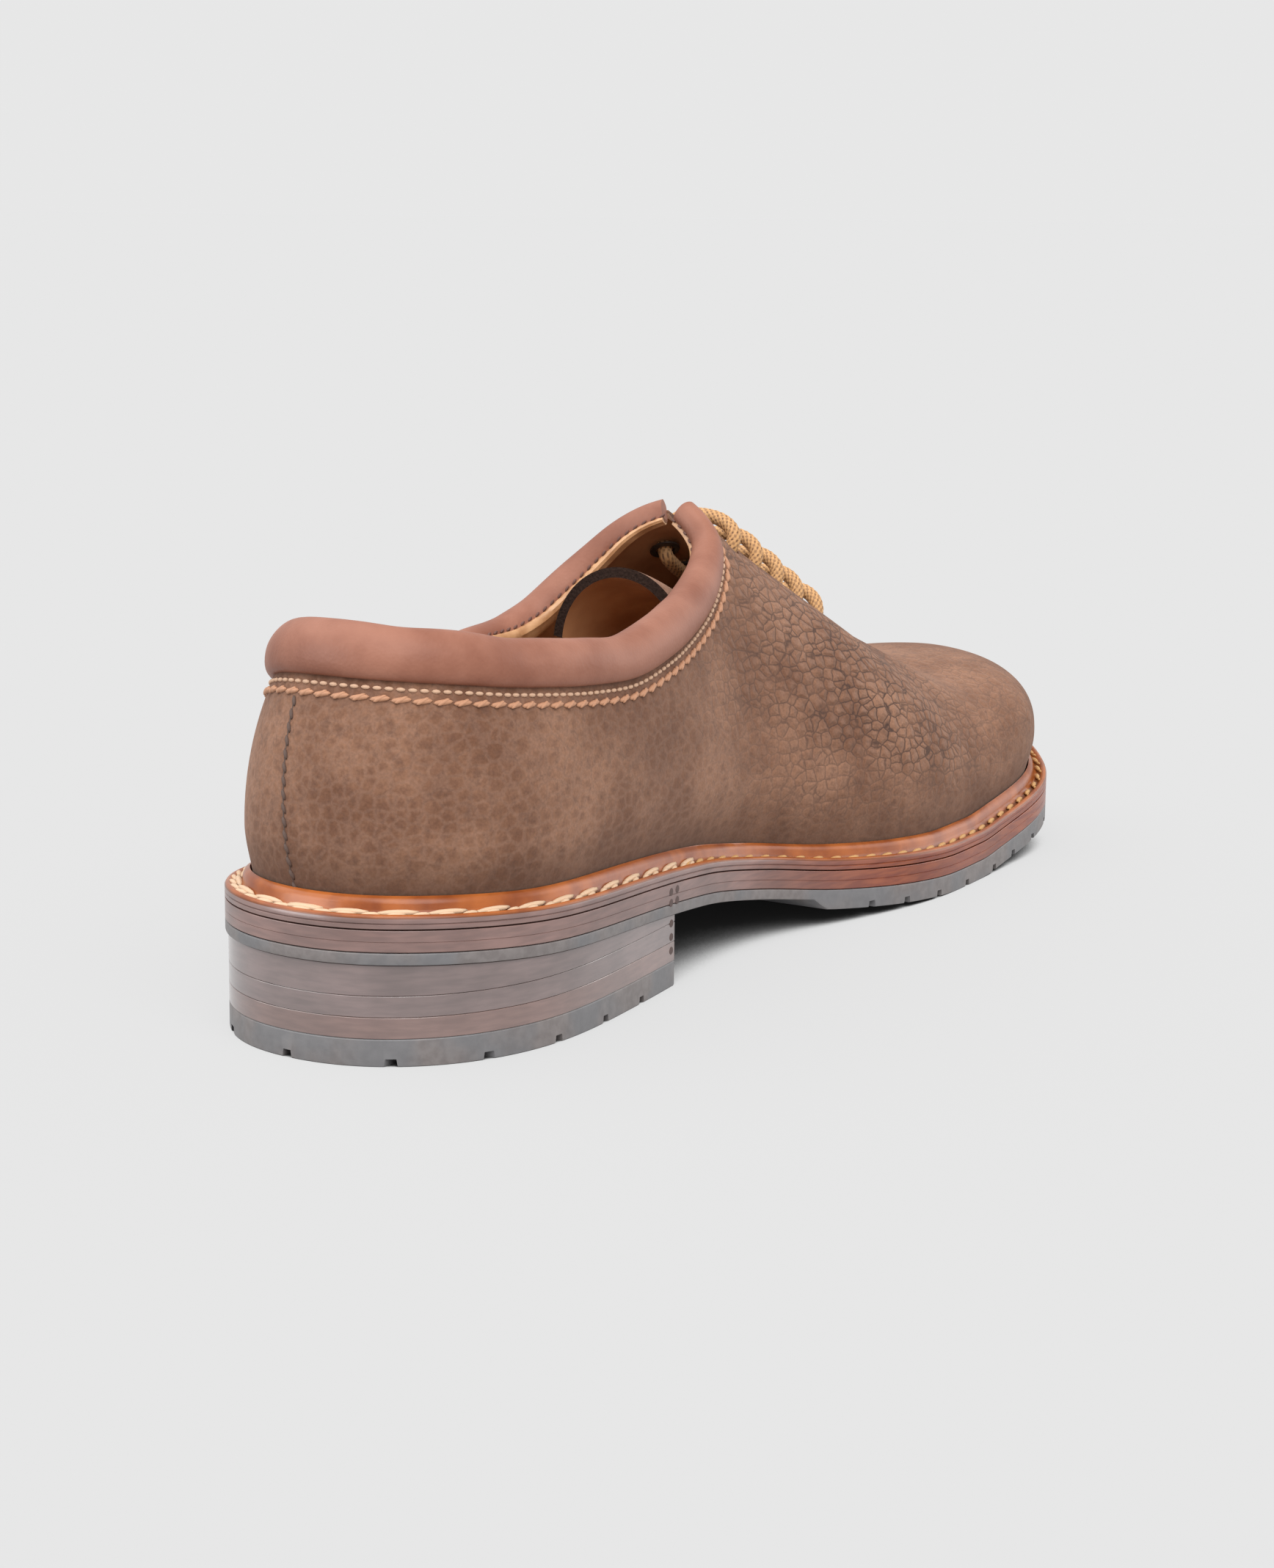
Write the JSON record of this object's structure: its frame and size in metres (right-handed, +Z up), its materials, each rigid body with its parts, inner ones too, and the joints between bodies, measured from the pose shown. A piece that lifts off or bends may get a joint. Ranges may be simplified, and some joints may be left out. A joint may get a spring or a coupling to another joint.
{
  "type": "whole cut oxford shoe",
  "caption": "Left whole cut oxford shoe with padded collar roll, closed lacing, raised stitched welt, leather midsole, thin rubber sole and stacked heel.",
  "frame": {"origin": "middle of the sole's box on the ground plane", "axes": "+X towards the toe, +Y towards the outer side of the left foot, +Z up"},
  "size_m": [0.3, 0.1024, 0.098],
  "materials": {
    "nubuck": "matte",
    "collar_leather": "satin",
    "lining": "matte",
    "welt_leather": "satin",
    "edge_leather": "polished",
    "rubber": "matte",
    "cord": "braided",
    "metal": "satin"
  },
  "bodies": {
    "root": {"upper": "nubuck", "collar_roll": "collar_leather", "tongue": "nubuck", "insole": "lining", "welt": "welt_leather", "midsole": "edge_leather", "outsole": "rubber", "heel_lift_upper": "edge_leather", "heel_lift_middle": "edge_leather", "heel_lift_lower": "edge_leather", "heel_top_piece": "rubber", "lace": "cord", "eyelet_inner_1": "metal", "eyelet_inner_2": "metal", "eyelet_inner_3": "metal", "eyelet_inner_4": "metal", "eyelet_inner_5": "metal", "eyelet_outer_1": "metal", "eyelet_outer_2": "metal", "eyelet_outer_3": "metal", "eyelet_outer_4": "metal", "eyelet_outer_5": "metal"}
  },
  "joints": []
}
